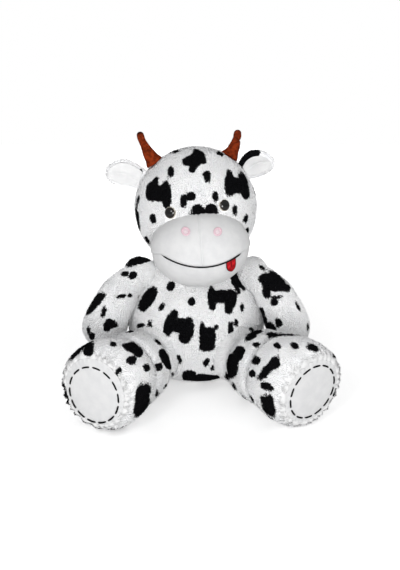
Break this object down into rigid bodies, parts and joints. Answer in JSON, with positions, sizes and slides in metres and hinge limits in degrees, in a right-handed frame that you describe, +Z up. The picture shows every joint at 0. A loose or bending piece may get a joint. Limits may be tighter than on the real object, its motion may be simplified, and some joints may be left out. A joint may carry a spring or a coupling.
{
  "type": "stuffed toy cow",
  "caption": "Seated plush cow: round head with felt horns, ears and sewn snout on a stuffed torso, with stuffed arms, legs with round soles, and a tufted tail.",
  "frame": {"origin": "centre of the torso's flat seat on the floor, in the toy's mirror plane", "axes": "+Z up, -Y the way the toy faces, +X its own left"},
  "size_m": [0.4292, 0.4755, 0.4299],
  "materials": {
    "plush_white": "white short-tufted plush printed with black cow patches",
    "plush_black": "black long plush",
    "snout_plush": "off-white short-pile velvet",
    "filling": "white polyester fibre wad",
    "horn_felt": "rust-brown felted plush",
    "eye_glass": "black and amber under a clear glossy dome",
    "washer_plastic": "white nylon",
    "nostril_thread": "pink satin stitch",
    "mouth_thread": "black thread",
    "tongue_felt": "red felt",
    "sole_plush": "white short-pile velvet with a dashed running stitch"
  },
  "bodies": {
    "torso": {"torso_cover": "plush_white", "torso_filling": "filling"},
    "head": {"head_cover": "plush_white", "head_filling": "filling", "snout_cover": "snout_plush", "chin_cover": "snout_plush", "mouth_cord": "mouth_thread", "tongue": "tongue_felt", "nostril_right": "nostril_thread", "nostril_left": "nostril_thread", "eye_right": "eye_glass", "eye_left": "eye_glass", "eye_washer_right": "washer_plastic", "eye_washer_left": "washer_plastic", "horn_right": "horn_felt", "horn_left": "horn_felt"},
    "arm_right": {"arm_right_cover": "plush_white", "arm_right_filling": "filling"},
    "arm_left": {"arm_left_cover": "plush_white", "arm_left_filling": "filling"},
    "leg_right": {"leg_right_cover": "plush_white", "leg_right_filling": "filling", "sole_right": "sole_plush"},
    "leg_left": {"leg_left_cover": "plush_white", "leg_left_filling": "filling", "sole_left": "sole_plush"},
    "ear_right": {"ear_right": "plush_white", "ear_lining_right": "snout_plush"},
    "ear_left": {"ear_left": "plush_white", "ear_lining_left": "snout_plush"},
    "tail": {"tail": "plush_white", "tail_tuft": "plush_black"}
  },
  "joints": [
    {"name": "head_turn", "type": "hinge", "parent": "torso", "child": "head", "pos_m": [0, 0, 0.3025], "axis": [-0.0784, -0.0036, 0.9969], "range_deg": [-20, 20], "stiffness_Nm_per_rad": 0.15},
    {"name": "arm_right_lift", "type": "hinge", "parent": "torso", "child": "arm_right", "pos_m": [-0.09588, 0.00086, 0.18608], "axis": [0, 1, 0], "range_deg": [0, 45], "stiffness_Nm_per_rad": 0.03},
    {"name": "leg_right_splay", "type": "hinge", "parent": "torso", "child": "leg_right", "pos_m": [-0.072, -0.05498, 0.059], "axis": [0, 0, -1], "range_deg": [-10, 6], "stiffness_Nm_per_rad": 0.2},
    {"name": "ear_right_flap", "type": "hinge", "parent": "head", "child": "ear_right", "pos_m": [-0.09135, -0.00415, 0.35215], "axis": [0.4767, 0.0216, 0.8788], "range_deg": [-25, 25], "stiffness_Nm_per_rad": 0.02},
    {"name": "arm_left_lift", "type": "hinge", "parent": "torso", "child": "arm_left", "pos_m": [0.09588, 0.00086, 0.18608], "axis": [0, -1, 0], "range_deg": [0, 45], "stiffness_Nm_per_rad": 0.03},
    {"name": "leg_left_splay", "type": "hinge", "parent": "torso", "child": "leg_left", "pos_m": [0.072, -0.05498, 0.059], "axis": [0, 0, 1], "range_deg": [-10, 6], "stiffness_Nm_per_rad": 0.2},
    {"name": "ear_left_flap", "type": "hinge", "parent": "head", "child": "ear_left", "pos_m": [0.08246, 0.00375, 0.36584], "axis": [-0.6081, -0.0276, 0.7934], "range_deg": [-25, 25], "stiffness_Nm_per_rad": 0.02},
    {"name": "tail_swing", "type": "hinge", "parent": "torso", "child": "tail", "pos_m": [0, 0.10493, 0.06], "axis": [0, 0, 1], "range_deg": [-20, 20], "stiffness_Nm_per_rad": 0.01}
  ]
}
